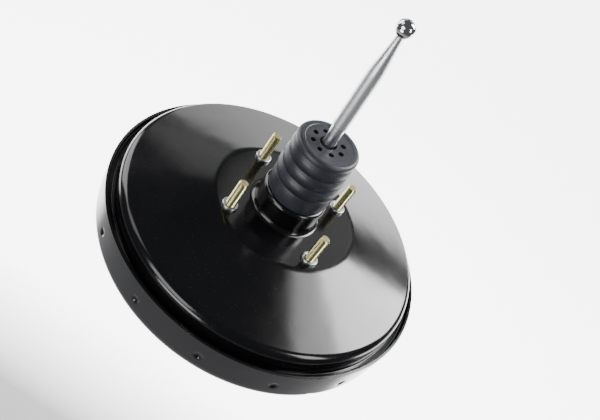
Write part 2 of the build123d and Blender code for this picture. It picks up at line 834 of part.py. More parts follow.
# Poppet valve: rubber face, sleeve and rear bead, held by its retainer
poppet_back_z = poppet_face_z + poppet_length
poppet_sleeve_radius = poppet_radius - poppet_sleeve_wall
chamber_press_radius = chamber_radius - press_gap
with BuildPart() as poppet_valve:
    with BuildSketch(Plane.XZ):
        with BuildLine():
            Polyline(
                (poppet_bore_radius, poppet_face_z),
                (poppet_radius, poppet_face_z),
                (poppet_radius, poppet_back_z - poppet_bead_height),
                (chamber_press_radius, poppet_back_z - poppet_bead_height),
                (chamber_press_radius, poppet_back_z),
                (poppet_sleeve_radius, poppet_back_z),
                (poppet_sleeve_radius, poppet_face_z + poppet_thickness),
                (poppet_bore_radius, poppet_face_z + poppet_thickness),
                close=True,
            )
        make_face()
    revolve(axis=Axis.Z)
poppet_valve.part.label = "poppet_valve"
export_step(poppet_valve.part, "parts/poppet_valve.step")

poppet_retainer_top_z = poppet_back_z + poppet_retainer_thickness
with BuildPart() as poppet_retainer:
    with BuildSketch(Plane.XY.offset(poppet_back_z)):
        Circle(chamber_press_radius)
        Circle(poppet_retainer_bore, mode=Mode.SUBTRACT)
    extrude(amount=poppet_retainer_thickness)
poppet_retainer.part.label = "poppet_retainer"
export_step(poppet_retainer.part, "parts/poppet_retainer.step")

# Air filter ring in the rear end of the valve body
filter_top_z = tube_top - shell_fit
with BuildPart() as air_filter:
    with BuildSketch(Plane.XY.offset(filter_top_z - filter_length)):
        Circle(chamber_press_radius)
        Circle(filter_bore_radius, mode=Mode.SUBTRACT)
    extrude(amount=filter_length)
air_filter.part.label = "air_filter"
export_step(air_filter.part, "parts/air_filter.step")

# Input rod: front ball, thin neck, cone, shank and spigot, turned about its own leaning axis
rod_section = Plane(
    origin=(0, 0, ball_joint_height), x_dir=(cos(lean), 0, sin(lean)), z_dir=(0, -1, 0)
)
rod_axis = Axis((0, 0, ball_joint_height), (-sin(lean), 0, cos(lean)))
washer_back = washer_distance + washer_thickness
snap_groove_radius = shank_radius - snap_ring_depth
snap_groove_end = washer_back + snap_ring_thickness + 2 * running_gap
with BuildPart() as input_rod:
    with BuildSketch(rod_section):
        with BuildLine():
            front = CenterArc(
                (0, 0),
                joint_ball_radius,
                -90,
                90 + degrees(acos(neck_of_ball_radius / joint_ball_radius)),
            )
            Polyline(
                front @ 1,
                (neck_of_ball_radius, neck_of_ball_length),
                (shank_radius, neck_of_ball_length + shank_cone_length),
                (shank_radius, washer_back),
                (snap_groove_radius, washer_back),
                (snap_groove_radius, snap_groove_end),
                (shank_radius, snap_groove_end),
                (shank_radius, shank_length),
                (spigot_radius, shank_length),
                (spigot_radius, shank_length + spigot_length),
                (0, shank_length + spigot_length),
                front @ 0,
            )
        make_face()
    revolve(axis=rod_axis)
input_rod.part.label = "input_rod"
export_step(input_rod.part, "parts/input_rod.step")

# Ball rod: sleeve over the spigot, straight body, long taper, thin neck and pedal ball
taper_start = shank_length + rod_straight_length
taper_end = taper_start + rod_taper_length
spigot_bore_end = shank_length + spigot_length + seat_gap
spigot_bore_radius = spigot_radius + running_gap
ball_neck_angle = degrees(asin(rod_tip_radius / pedal_ball_radius))
ball_start = pedal_ball_distance - sqrt(pedal_ball_radius**2 - rod_tip_radius**2)
with BuildPart() as pedal_rod:
    with BuildSketch(rod_section):
        with BuildLine():
            Polyline(
                (0, spigot_bore_end),
                (spigot_bore_radius, spigot_bore_end),
                (spigot_bore_radius, shank_length),
                (rod_radius - rod_edge_rounding, shank_length),
            )
            ThreePointArc(
                (rod_radius - rod_edge_rounding, shank_length),
                (
                    rod_radius - rod_edge_rounding * (1 - sin(radians(45))),
                    shank_length + rod_edge_rounding * (1 - cos(radians(45))),
                ),
                (rod_radius, shank_length + rod_edge_rounding),
            )
            Line((rod_radius, shank_length + rod_edge_rounding), (rod_radius, taper_start))
            Spline(
                (rod_radius, taper_start), (rod_tip_radius, taper_end), tangents=[(0, 1), (0, 1)]
            )
            Line((rod_tip_radius, taper_end), (rod_tip_radius, ball_start))
            CenterArc(
                (0, pedal_ball_distance),
                pedal_ball_radius,
                ball_neck_angle - 90,
                180 - ball_neck_angle,
            )
            Line((0, pedal_ball_distance + pedal_ball_radius), (0, spigot_bore_end))
        make_face()
    revolve(axis=rod_axis)
pedal_rod.part.label = "pedal_rod"
export_step(pedal_rod.part, "parts/pedal_rod.step")

# Spring washer on the rod and the snap ring that holds it
with BuildPart() as rod_spring_washer:
    with BuildSketch(rod_section):
        with Locations((shank_radius + running_gap, washer_distance)):
            Rectangle(washer_radius - shank_radius, washer_thickness, align=Align.MIN)
    revolve(axis=rod_axis)
rod_spring_washer.part.label = "rod_spring_washer"
export_step(rod_spring_washer.part, "parts/rod_spring_washer.step")

with BuildPart() as rod_snap_ring:
    with BuildSketch(rod_section):
        with Locations((snap_groove_radius + running_gap, washer_back + running_gap)):
            Rectangle(snap_ring_width, snap_ring_thickness, align=Align.MIN)
    revolve(axis=rod_axis)
rod_snap_ring.part.label = "rod_snap_ring"
export_step(rod_snap_ring.part, "parts/rod_snap_ring.step")

# Reaction disc against the pocket's floor, output rod head behind it
disc_top_z = reaction_floor_z - running_gap
disc_low_z = disc_top_z - reaction_thickness
with BuildPart() as reaction_disc:
    with BuildSketch(Plane.XY.offset(disc_low_z)):
        Circle(reaction_radius)
    extrude(amount=reaction_thickness)
reaction_disc.part.label = "reaction_disc"
export_step(reaction_disc.part, "parts/reaction_disc.step")

output_head_z = disc_low_z - running_gap
output_tip_z = face_z - output_rod_tip_proud
output_shaft_end_z = output_tip_z + adjuster_length
with BuildPart() as output_rod:
    with BuildSketch(Plane.XY.offset(output_head_z - output_head_height)):
        Circle(reaction_radius)
    extrude(amount=output_head_height)
    with BuildSketch(Plane.XY.offset(output_shaft_end_z)):
        Circle(output_rod_radius)
    extrude(amount=output_head_z - output_head_height - output_shaft_end_z)
    with BuildSketch(Plane.XY.offset(output_shaft_end_z)):
        Circle(adjuster_radius + running_gap)
    extrude(amount=adjuster_depth, mode=Mode.SUBTRACT)
output_rod.part.label = "output_rod"
export_step(output_rod.part, "parts/output_rod.step")

# Adjuster screw in the end of the output rod, with a domed head
with BuildPart() as output_rod_adjuster:
    with BuildSketch(Plane.XY.offset(output_shaft_end_z)):
        Circle(adjuster_radius)
    extrude(amount=adjuster_depth - seat_gap)
    with BuildSketch(Plane.XY.offset(output_tip_z)):
        Circle(adjuster_head_radius)
    extrude(amount=adjuster_length)
    fillet(output_rod_adjuster.edges().group_by(Axis.Z)[0], adjuster_length / 2)
output_rod_adjuster.part.label = "output_rod_adjuster"
export_step(output_rod_adjuster.part, "parts/output_rod_adjuster.step")

# Retainer cap pressed over the boss, which holds the output rod's head
cap_bore = boss_radius + running_gap
with BuildPart() as output_rod_retainer:
    with BuildSketch(Plane.XY.offset(boss_end_z - output_retainer_sheet)):
        Circle(cap_bore + output_retainer_sheet)
        Circle(output_rod_radius + seat_gap, mode=Mode.SUBTRACT)
    extrude(amount=output_retainer_sheet)
    with BuildSketch(Plane.XY.offset(boss_end_z)):
        Circle(cap_bore + output_retainer_sheet)
        Circle(cap_bore, mode=Mode.SUBTRACT)
    extrude(amount=output_retainer_grip)
output_rod_retainer.part.label = "output_rod_retainer"
export_step(output_rod_retainer.part, "parts/output_rod_retainer.step")

# Spring seat over the front seal: flange under the spring, wall and top
seat_wall_radius = return_spring_radius - return_spring_wire - seat_gap
seat_inner_radius = seat_wall_radius - seat_sheet
seat_top_z = front_plate_top_z + seat_height
with BuildPart() as spring_seat:
    with BuildSketch(Plane.XZ):
        with BuildLine():
            Polyline(
                (seat_inner_radius, front_plate_top_z),
                (seat_inner_radius + seat_flange_width, front_plate_top_z),
                (seat_inner_radius + seat_flange_width, front_plate_top_z + seat_sheet),
                (seat_wall_radius, front_plate_top_z + seat_sheet),
                (seat_wall_radius, seat_top_z),
                (seat_bore_radius, seat_top_z),
                (seat_bore_radius, seat_top_z - seat_sheet),
                (seat_inner_radius, seat_top_z - seat_sheet),
                close=True,
            )
        make_face()
    revolve(axis=Axis.Z)
spring_seat.part.label = "spring_seat"
export_step(spring_seat.part, "parts/spring_seat.step")

# Front seal: rim round the pilot, web across its end and a long lip on the output rod
seal_top_z = seat_top_z - seat_sheet - running_gap
seal_lip_bore = output_rod_radius + 2 * running_gap
seal_lip_radius = seal_lip_bore + seal_lip_wall
with BuildPart() as front_seal:
    with BuildSketch(Plane.XZ):
        with BuildLine():
            Polyline(
                (seal_lip_bore, seal_top_z),
                (seal_lip_bore, seal_top_z - seal_lip_length),
                (seal_lip_radius, seal_top_z - seal_lip_length),
                (seal_lip_radius, seal_top_z - seal_web),
                (front_plate_bore, seal_top_z - seal_web),
                (front_plate_bore, front_plate_top_z),
                (seat_inner_radius - press_gap, front_plate_top_z),
                (seat_inner_radius - press_gap, seal_top_z),
                close=True,
            )
        make_face()
    revolve(axis=Axis.Z)
front_seal.part.label = "front_seal"
export_step(front_seal.part, "parts/front_seal.step")

# Springs on the axis
return_spring = coil_spring(
    return_spring_radius,
    return_spring_wire,
    front_plate_top_z + seat_sheet + spring_seat_gap,
    hub_front_z - spring_seat_gap,
    return_spring_turns,
)
return_spring.part.label = "return_spring"
export_step(return_spring.part, "parts/return_spring.step")

poppet_spring = coil_spring(
    poppet_spring_radius,
    poppet_spring_wire,
    poppet_face_z + poppet_thickness + spring_seat_gap,
    poppet_back_z - spring_seat_gap,
    poppet_spring_turns,
)
poppet_spring.part.label = "poppet_spring"
export_step(poppet_spring.part, "parts/poppet_spring.step")

washer_low_z = ball_joint_height + washer_distance * cos(lean) - washer_radius * sin(lean)
valve_return_spring = coil_spring(
    valve_spring_radius,
    valve_spring_wire,
    poppet_retainer_top_z + spring_seat_gap,
    washer_low_z - spring_seat_gap,
    valve_spring_turns,
)
valve_return_spring.part.label = "valve_return_spring"
export_step(valve_return_spring.part, "parts/valve_return_spring.step")

# Check valve on the shelf, built about its own axis. Rubber grommet that grips the shell's edge.
valve_section = Plane(origin=(0, check_valve_radius, 0), x_dir=(1, 0, 0), z_dir=(0, -1, 0))
valve_axis = Axis((0, check_valve_radius, 0), (0, 0, 1))
shelf_inner_z = shelf_z + front_sheet
grommet_waist = grommet_hole_radius - press_gap
with BuildPart() as check_valve_grommet:
    with BuildSketch(valve_section):
        with BuildLine():
            Polyline(
                (grommet_bore_radius, shelf_z - plate_gap - grommet_outer_height),
                (grommet_flange_radius, shelf_z - plate_gap - grommet_outer_height),
                (grommet_flange_radius, shelf_z - plate_gap),
                (grommet_waist, shelf_z - plate_gap),
                (grommet_waist, shelf_inner_z + plate_gap),
                (grommet_inner_radius, shelf_inner_z + plate_gap),
                (grommet_inner_radius, shelf_inner_z + plate_gap + grommet_inner_height),
                (grommet_bore_radius, shelf_inner_z + plate_gap + grommet_inner_height),
                close=True,
            )
        make_face()
    revolve(axis=valve_axis)
check_valve_grommet.part.label = "check_valve_grommet"
export_step(check_valve_grommet.part, "parts/check_valve_grommet.step")

# Valve body half: barrel through the grommet, inlet with the disc's seat, flange
barrel_top_z = shelf_inner_z + valve_barrel_reach
valve_seat_face_z = barrel_top_z - valve_floor
valve_flange_top_z = shelf_z - plate_gap - grommet_outer_height
valve_joint_z = valve_flange_top_z - valve_flange_height
barrel_radius = grommet_bore_radius - press_gap
with BuildPart() as check_valve_body:
    with BuildSketch(valve_section):
        with BuildLine():
            Polyline(
                (valve_inlet_radius, barrel_top_z),
                (barrel_radius, barrel_top_z),
                (barrel_radius, valve_flange_top_z),
                (valve_flange_radius, valve_flange_top_z),
                (valve_flange_radius, valve_joint_z),
                (valve_chamber_radius, valve_joint_z),
                (valve_chamber_radius, valve_seat_face_z),
                (valve_inlet_radius, valve_seat_face_z),
                close=True,
            )
        make_face()
    revolve(axis=valve_axis)
check_valve_body.part.label = "check_valve_body"
export_step(check_valve_body.part, "parts/check_valve_body.step")

# Nipple half: flange, straight hose stretch and barb
nipple_flange_z = valve_joint_z - valve_flange_height
nipple_chamber_z = valve_joint_z - nipple_chamber_depth
nipple_end_z = nipple_flange_z - nipple_length
nipple_barb_z = nipple_end_z + nipple_barb_length
with BuildPart() as check_valve_nipple:
    with BuildSketch(valve_section):
        with BuildLine():
            Polyline(
                (valve_chamber_radius, valve_joint_z),
                (valve_flange_radius, valve_joint_z),
                (valve_flange_radius, nipple_flange_z),
                (nipple_radius, nipple_flange_z),
                (nipple_radius, nipple_barb_z),
                (nipple_barb_radius, nipple_barb_z),
                (nipple_end_radius, nipple_end_z),
                (nipple_bore_radius, nipple_end_z),
                (nipple_bore_radius, nipple_chamber_z),
                (valve_chamber_radius, nipple_chamber_z),
                close=True,
            )
        make_face()
    revolve(axis=valve_axis)
check_valve_nipple.part.label = "check_valve_nipple"
export_step(check_valve_nipple.part, "parts/check_valve_nipple.step")

# Rubber disc on the seat and the light spring behind it
disc_face_z = valve_seat_face_z - running_gap
disc_back_z = disc_face_z - check_disc_thickness
with BuildPart() as check_valve_disc:
    with BuildSketch(Plane.XY.offset(disc_back_z)):
        with Locations((0, check_valve_radius)):
            Circle(check_disc_radius)
    extrude(amount=check_disc_thickness)
check_valve_disc.part.label = "check_valve_disc"
export_step(check_valve_disc.part, "parts/check_valve_disc.step")

check_valve_spring = coil_spring(
    check_spring_radius,
    check_spring_wire,
    nipple_chamber_z + spring_seat_gap,
    disc_back_z - spring_seat_gap,
    check_spring_turns,
)
check_valve_spring.part.position = (0, check_valve_radius, 0)
check_valve_spring.part.label = "check_valve_spring"
export_step(check_valve_spring.part, "parts/check_valve_spring.step")
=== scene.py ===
# %% [markdown]
# # A vacuum brake booster
# The booster is a flat round can of pressed steel, painted gloss black. Its rear shell faces the
# driver: a shallow cone with a short neck, a rubber boot and a leaning rod that ends in a ball.
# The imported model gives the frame: the origin is the middle of the four firewall studs, +Z points
# to the pedal, and one unit is one metre. Every piece below is built in that frame, in place.

from math import cos, pi, radians, sin, tan

import bmesh
import bpy
from mathutils import Matrix, Vector


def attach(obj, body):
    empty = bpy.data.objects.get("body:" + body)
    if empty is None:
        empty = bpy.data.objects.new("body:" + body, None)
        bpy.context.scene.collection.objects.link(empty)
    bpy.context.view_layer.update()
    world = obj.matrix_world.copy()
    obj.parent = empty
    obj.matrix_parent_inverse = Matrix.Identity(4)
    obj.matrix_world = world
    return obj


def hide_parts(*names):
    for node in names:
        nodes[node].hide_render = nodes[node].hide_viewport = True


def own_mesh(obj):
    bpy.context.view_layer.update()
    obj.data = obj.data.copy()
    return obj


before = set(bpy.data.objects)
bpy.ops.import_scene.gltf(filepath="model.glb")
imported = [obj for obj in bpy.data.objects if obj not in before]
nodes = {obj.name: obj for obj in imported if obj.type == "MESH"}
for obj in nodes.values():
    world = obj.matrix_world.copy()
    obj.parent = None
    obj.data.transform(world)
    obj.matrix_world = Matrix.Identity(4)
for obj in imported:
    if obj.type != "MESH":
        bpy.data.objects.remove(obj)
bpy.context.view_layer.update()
print("nodes in the frame:", len(nodes))

# %% [markdown]
# ## Helpers for turned pieces
# Nearly everything on a booster is round: deep-drawn shells, turned rods, moulded rubber. So one
# way of working serves for most of it, as on a lathe. A few corner points are joined by edges,
# each corner is rounded by bevelling its vertex, and the wire is spun about the axis. A corner is
# written as radius, height and bend in millimetres. Bevelling a vertex of a wire gives a true arc.

# %% One wire, its rounded corners, and the lathe
MM = 0.001
AXIS = Vector((0, 0, 1))


def draw_wire(bm, corners, closed=True, segments=6):
    """Edges through the corners (radius, height, bend), with every bend rounded."""
    points = [bm.verts.new((r * MM, 0, z * MM)) for r, z, bend in corners]
    for start, end in zip(points, points[1:]):
        bm.edges.new((start, end))
    if closed:
        bm.edges.new((points[-1], points[0]))
    for point, (r, z, bend) in zip(points, corners):
        if bend:
            sides = [edge.other_vert(point).co - point.co for edge in point.link_edges]
            turn = pi - sides[0].angle(sides[1])
            bmesh.ops.bevel(
                bm,
                geom=[point],
                offset=bend * MM * tan(turn / 2),
                offset_type="OFFSET",
                segments=max(2, round(segments * turn / radians(90))),
                profile=0.5,
                affect="VERTICES",
                material=-1,
            )


def lathe(bm, steps):
    """Spin all the edges once round the axis and close the seam and the poles."""
    bmesh.ops.spin(
        bm,
        geom=bm.verts[:] + bm.edges[:],
        cent=(0, 0, 0),
        axis=AXIS,
        dvec=(0, 0, 0),
        angle=2 * pi,
        steps=steps,
        use_merge=True,
        use_duplicate=False,
    )
    bmesh.ops.remove_doubles(bm, verts=bm.verts, dist=0.002 * MM)
    bmesh.ops.recalc_face_normals(bm, faces=bm.faces)


# %% [markdown]
# A mesh becomes a piece of the booster when it has a material and rides on a body, and the solid
# of the frame that it stands for is hidden. Faces are shaded smooth, and edges sharper than a
# chosen angle stay crisp. A weighted normal modifier lets the large faces rule the shading,
# because gloss paint shows every false normal.


# %% From a mesh to a piece of the booster
def finish_piece(name, bm, material, body, stands_for=(), crease=35):
    for face in bm.faces:
        face.smooth = True
    for edge in bm.edges:
        if len(edge.link_faces) == 2 and edge.calc_face_angle(0) > radians(crease):
            edge.smooth = False
    mesh = bpy.data.meshes.new(name)
    bm.to_mesh(mesh)
    bm.free()
    mesh.materials.append(material)
    piece = bpy.data.objects.new(name, mesh)
    bpy.context.scene.collection.objects.link(piece)
    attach(piece, body)
    for node in stands_for:
        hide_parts(node)
    print(name, "faces:", len(mesh.polygons))
    return piece


def weigh_normals(piece):
    weighted = piece.modifiers.new("weigh normals", "WEIGHTED_NORMAL")
    weighted.keep_sharp = True
    return piece


# %% [markdown]
# ## Helpers for materials
# Colours are given as sRGB hex values, as in any picture editor, and one function turns
# them to the linear values that the shaders add up. Another adds one node with its settings and
# its links. A pattern's scale comes from a real size: a noise of scale 1000 / 3 has grains of
# about 3 mm, because Object coordinates are in metres.


# %% Colours and nodes
def colour(hex_value):
    """Linear RGBA of an sRGB hex colour."""
    channels = [int(hex_value[i : i + 2], 16) / 255 for i in (1, 3, 5)]
    linear = [c / 12.92 if c <= 0.04045 else ((c + 0.055) / 1.055) ** 2.4 for c in channels]
    return (*linear, 1.0)


def add_node(tree, kind, links=(), **settings):
    """One node: settings name its properties, or its sockets by name, links feed its sockets."""
    node = tree.nodes.new(kind)
    for name, value in settings.items():
        if hasattr(node, name):
            setattr(node, name, value)
        else:
            node.inputs[name.replace("_", " ")].default_value = value
    for socket, source in links:
        tree.links.new(source, node.inputs[socket])
    return node


def per_mm(size):
    """Texture scale whose pattern repeats about every so many millimetres."""
    return 1000 / size


def two_tones(tree, factor, first, second):
    """The colour output of a mix between two hex colours."""
    mix = add_node(tree, "ShaderNodeMixRGB", [("Fac", factor)])
    mix.inputs["Color1"].default_value = colour(first)
    mix.inputs["Color2"].default_value = colour(second)
    return mix.outputs["Color"]


def new_finish(name, **shader_values):
    """A material with its tree, its shader and the place on the piece."""
    material = bpy.data.materials.new(name)
    material.use_nodes = True
    tree = material.node_tree
    shader = tree.nodes["Principled BSDF"]
    for socket, value in shader_values.items():
        shader.inputs[socket.replace("_", " ")].default_value = value
    place = add_node(tree, "ShaderNodeTexCoord").outputs["Object"]
    return material, tree, shader, place


# %% [markdown]
# ## Black stove enamel on pressed steel
# The shells are drawn from steel sheet, dipped or sprayed black and stoved. The enamel is a hard
# gloss film of resin (IOR about 1.5) that reflects lamps as soft shapes, because it dries with a
# faint orange peel some millimetres across and lies over the fine waves of the drawn sheet. A few
# specks of dust sit in the film. Two noises bend the normal a little: a wide one for the sheet
# and a fine one for the peel. The specks are small lighter points, and the gloss drifts where
# hands have smeared it.

# %% Enamel
stove_enamel, tree, shader, place = new_finish(
    "black_stove_enamel", Roughness=0.2, IOR=1.5, Specular_IOR_Level=0.5
)
sheet_waves = add_node(tree, "ShaderNodeTexNoise", [("Vector", place)], Scale=per_mm(45), Detail=2.0)
peel = add_node(tree, "ShaderNodeTexNoise", [("Vector", place)], Scale=per_mm(2.2), Detail=2.0)
specks = add_node(tree, "ShaderNodeTexNoise", [("Vector", place)], Scale=per_mm(1.1), Detail=1.0)
smears = add_node(tree, "ShaderNodeTexNoise", [("Vector", place)], Scale=per_mm(28), Detail=5.0)
speck_mask = add_node(
    tree, "ShaderNodeMapRange", [("Value", specks.outputs["Fac"])],
    From_Min=0.74, From_Max=0.80, To_Min=0.0, To_Max=1.0,
)
film_colour = two_tones(tree, speck_mask.outputs["Result"], "#0a0a0c", "#3c3c40")
tree.links.new(film_colour, shader.inputs["Base Color"])
film_gloss = add_node(
    tree, "ShaderNodeMapRange", [("Value", smears.outputs["Fac"])],
    From_Min=0.3, From_Max=0.7, To_Min=0.13, To_Max=0.19,
)
tree.links.new(film_gloss.outputs["Result"], shader.inputs["Roughness"])
wave_bump = add_node(
    tree, "ShaderNodeBump", [("Height", sheet_waves.outputs["Fac"])], Strength=0.25, Distance=1.2 * MM
)
peel_bump = add_node(
    tree, "ShaderNodeBump",
    [("Height", peel.outputs["Fac"]), ("Normal", wave_bump.outputs["Normal"])],
    Strength=0.12, Distance=0.05 * MM,
)
tree.links.new(peel_bump.outputs["Normal"], shader.inputs["Normal"])

# %% [markdown]
# ## Moulded rubber
# The boot is compression-moulded rubber: carbon black gives it a slate tone, and the surface of
# the mould leaves a satin skin with a fine grain. It has no clear highlight, only a broad sheen,
# and a dusty bloom that lies unevenly. Roughness near 0.5 and a grain of about 0.6 mm do that.

# %% Boot rubber and seal rubber
boot_rubber, tree, shader, place = new_finish("satin_moulded_rubber", Roughness=0.42, IOR=1.52)
bloom = add_node(tree, "ShaderNodeTexNoise", [("Vector", place)], Scale=per_mm(14), Detail=4.0)
skin = two_tones(tree, bloom.outputs["Fac"], "#1b1d24", "#2a2d36")
tree.links.new(skin, shader.inputs["Base Color"])
skin_gloss = add_node(
    tree, "ShaderNodeMapRange", [("Value", bloom.outputs["Fac"])],
    From_Min=0.3, From_Max=0.7, To_Min=0.36, To_Max=0.5,
)
tree.links.new(skin_gloss.outputs["Result"], shader.inputs["Roughness"])
grain = add_node(tree, "ShaderNodeTexNoise", [("Vector", place)], Scale=per_mm(0.6), Detail=2.0)
grain_bump = add_node(
    tree, "ShaderNodeBump", [("Height", grain.outputs["Fac"])], Strength=0.2, Distance=0.04 * MM
)
tree.links.new(grain_bump.outputs["Normal"], shader.inputs["Normal"])

seal_rubber, tree, shader, place = new_finish("black_seal_rubber", Roughness=0.55, IOR=1.52)
bloom = add_node(tree, "ShaderNodeTexNoise", [("Vector", place)], Scale=per_mm(5), Detail=4.0)
skin = two_tones(tree, bloom.outputs["Fac"], "#121214", "#222225")
tree.links.new(skin, shader.inputs["Base Color"])
grain = add_node(tree, "ShaderNodeTexNoise", [("Vector", place)], Scale=per_mm(0.5), Detail=2.0)
grain_bump = add_node(
    tree, "ShaderNodeBump", [("Height", grain.outputs["Fac"])], Strength=0.25, Distance=0.04 * MM
)
tree.links.new(grain_bump.outputs["Normal"], shader.inputs["Normal"])

# %% [markdown]
# ## Plated and turned steel
# The studs are zinc plated and passivated yellow: a thin film that drifts between straw, olive
# and a hint of pink over the bright zinc. The collars and the rod's shank have clear zinc, which
# is a cooler white. The ball rod is turned steel with a satin grain round its axis, and its ball
# is polished. All are metals, so the colour is that of the reflection and the IOR stays as it is.
# One function makes them, with the tone of the film, its second tone and the roughness.


# %% Metals
def metal_finish(name, tone, second_tone, roughness, patch_mm, grain_mm, grain_depth, spread=0.08):
    """Metal whose tone and gloss drift between two values, with a fine grain of its own."""
    material, tree, shader, place = new_finish(name, Metallic=1.0, Roughness=roughness)
    patches = add_node(
        tree, "ShaderNodeTexNoise", [("Vector", place)], Scale=per_mm(patch_mm), Detail=4.0
    )
    film = two_tones(tree, patches.outputs["Fac"], tone, second_tone)
    tree.links.new(film, shader.inputs["Base Color"])
    gloss = add_node(
        tree, "ShaderNodeMapRange", [("Value", patches.outputs["Fac"])],
        From_Min=0.3, From_Max=0.7, To_Min=roughness - spread / 2, To_Max=roughness + spread / 2,
    )
    tree.links.new(gloss.outputs["Result"], shader.inputs["Roughness"])
    grain = add_node(
        tree, "ShaderNodeTexNoise", [("Vector", place)], Scale=per_mm(grain_mm), Detail=3.0
    )
    bump = add_node(
        tree, "ShaderNodeBump", [("Height", grain.outputs["Fac"])],
        Strength=0.3, Distance=grain_depth * MM,
    )
    tree.links.new(bump.outputs["Normal"], shader.inputs["Normal"])
    return material


yellow_zinc = metal_finish("yellow_passivated_zinc", "#e6dba6", "#a8a878", 0.24, 3.0, 0.5, 0.02)
clear_zinc = metal_finish("clear_zinc_plate", "#dcdedf", "#b9bcc0", 0.28, 4.0, 0.6, 0.02)
satin_rod = metal_finish("satin_turned_steel", "#e6e7e9", "#cdcfd1", 0.38, 7.0, 0.3, 0.02)
sheet_steel = metal_finish("plain_sheet_steel", "#9a9a98", "#7d7e80", 0.42, 18.0, 0.8, 0.03)
spring_steel = metal_finish("oiled_spring_steel", "#77787c", "#55575c", 0.36, 6.0, 0.5, 0.02)
plunger_aluminium = metal_finish("turned_aluminium", "#c9cacc", "#b4b5b8", 0.32, 8.0, 0.4, 0.02)
polished_ball = metal_finish("polished_steel_ball", "#d9dadb", "#cfd0d2", 0.07, 5.0, 0.5, 0.002, 0.03)

# %% [markdown]
# ## Plastics, felt and coated rubber inside
# The valve body is a phenolic moulding with glass fibres, the guide is a pale low-friction
# plastic, the check valve is black nylon and the filter is dark open felt. Most of them are only
# seen when the booster is taken apart, but each still has the tone and grain of its own stuff.


# %% Moulded plastics and felt
def moulded_finish(name, tone, second_tone, roughness, patch_mm, grain_mm, grain_depth):
    """Plastic or felt: two tones in patches, even gloss, and a grain that bends the light."""
    material, tree, shader, place = new_finish(name, Roughness=roughness, IOR=1.5)
    patches = add_node(
        tree, "ShaderNodeTexNoise", [("Vector", place)], Scale=per_mm(patch_mm), Detail=5.0
    )
    body_tone = two_tones(tree, patches.outputs["Fac"], tone, second_tone)
    tree.links.new(body_tone, shader.inputs["Base Color"])
    grain = add_node(
        tree, "ShaderNodeTexNoise", [("Vector", place)], Scale=per_mm(grain_mm), Detail=4.0
    )
    bump = add_node(
        tree, "ShaderNodeBump", [("Height", grain.outputs["Fac"])],
        Strength=0.4, Distance=grain_depth * MM,
    )
    tree.links.new(bump.outputs["Normal"], shader.inputs["Normal"])
    return material


phenolic = moulded_finish("glass_filled_phenolic", "#2b221d", "#3a2f28", 0.5, 2.5, 0.4, 0.03)
guide_plastic = moulded_finish("pale_guide_plastic", "#dad7cb", "#cbc8bb", 0.45, 6.0, 0.5, 0.02)
black_nylon = moulded_finish("black_moulded_nylon", "#101012", "#1c1c1f", 0.33, 6.0, 0.7, 0.03)
dark_felt = moulded_finish("dark_open_felt", "#1e1e1f", "#303032", 0.95, 0.9, 0.35, 0.25)
coated_fabric = moulded_finish("fabric_backed_rubber", "#18181a", "#26262a", 0.6, 5.0, 0.7, 0.08)

# %% [markdown]
# ## Rear shell
# The rear shell is one deep-drawn sheet of 1.8 mm: an inward lip and a neck for the boot, a flat
# pad for the studs, a shallow cone, a shoulder wall, then a groove and a flange whose edge turns
# up inside the front shell. It could be sculpted from a disc, but a drawn sheet is a turned form,
# so its outer face is spun from one wire and a Solidify modifier gives the sheet its thickness.
# A small bevel rounds the cut edges.


# %% Pressed sheet
def press_sheet(name, corners, steps, segments, wall_cuts=5):
    """A bmesh of the seen face of a drawn sheet, its normals pointing away from the axis."""
    bm = bmesh.new()
    draw_wire(bm, corners, closed=False, segments=segments)
    outermost = max(bm.edges, key=lambda edge: min(vert.co.x for vert in edge.verts))
    bmesh.ops.subdivide_edges(bm, edges=[outermost], cuts=wall_cuts)
    lathe(bm, steps)
    outward = sum(
        face.calc_area() * face.normal.dot(face.calc_center_median() * Vector((1, 1, 0)))
        for face in bm.faces
    )
    if outward < 0:
        bmesh.ops.reverse_faces(bm, faces=bm.faces)
    print(name, "outer face area in cm2:", round(sum(f.calc_area() for f in bm.faces) * 1e4))
    return bm


def give_thickness(piece, wall, edge_bend):
    sheet = piece.modifiers.new("sheet thickness", "SOLIDIFY")
    sheet.thickness = wall * MM
    sheet.offset = -1
    sheet.use_even_offset = True
    rounding = piece.modifiers.new("rounded cut edge", "BEVEL")
    rounding.width = edge_bend * MM
    rounding.segments = 3
    rounding.limit_method = "ANGLE"
    rounding.angle_limit = radians(60)
    return weigh_normals(piece)


# %% Rear shell
neck_radius, neck_top, lip_width = 26.6, 18.2, 4.3
pad_z, pad_radius = -2.4, 60.0
shoulder_radius, shoulder_z, shoulder_taper = 127.02, -19.2, 0.6
flange_radius, flange_z, flange_height = 130.5, -36.5, 2.5
rear_sheet = 1.8
rear_corners = [
    (neck_radius - lip_width, neck_top, 0),
    (neck_radius, neck_top, 3.2),
    (neck_radius, pad_z, 4.0),
    (pad_radius, pad_z, 25.0),
    (shoulder_radius, shoulder_z, 7.0),
    (shoulder_radius + shoulder_taper, flange_z, 0.7),
    (flange_radius, flange_z, 0.7),
    (flange_radius, flange_z + flange_height, 0),
]
bm = press_sheet("rear shell", rear_corners, steps=360, segments=10)
rear_shell = finish_piece(
    "rear_shell_pressing", bm, stove_enamel, "shell", ["rear_shell"], crease=50
)
give_thickness(rear_shell, rear_sheet, edge_bend=0.5)

# %% [markdown]
# ## Front shell and its dents
# After the rear shell is dropped in, its wall is pinched at fourteen places that hold the edge,
# and the corner has four pressed pockets in two opposite pairs. A ball-nosed punch makes such
# dents, so here a punch pushes every point that it covers out to its own surface. Its stroke is
# square to the sheet, level at the wall and tilted down at the corner. That needs a fine mesh on
# the wall and the corner only.

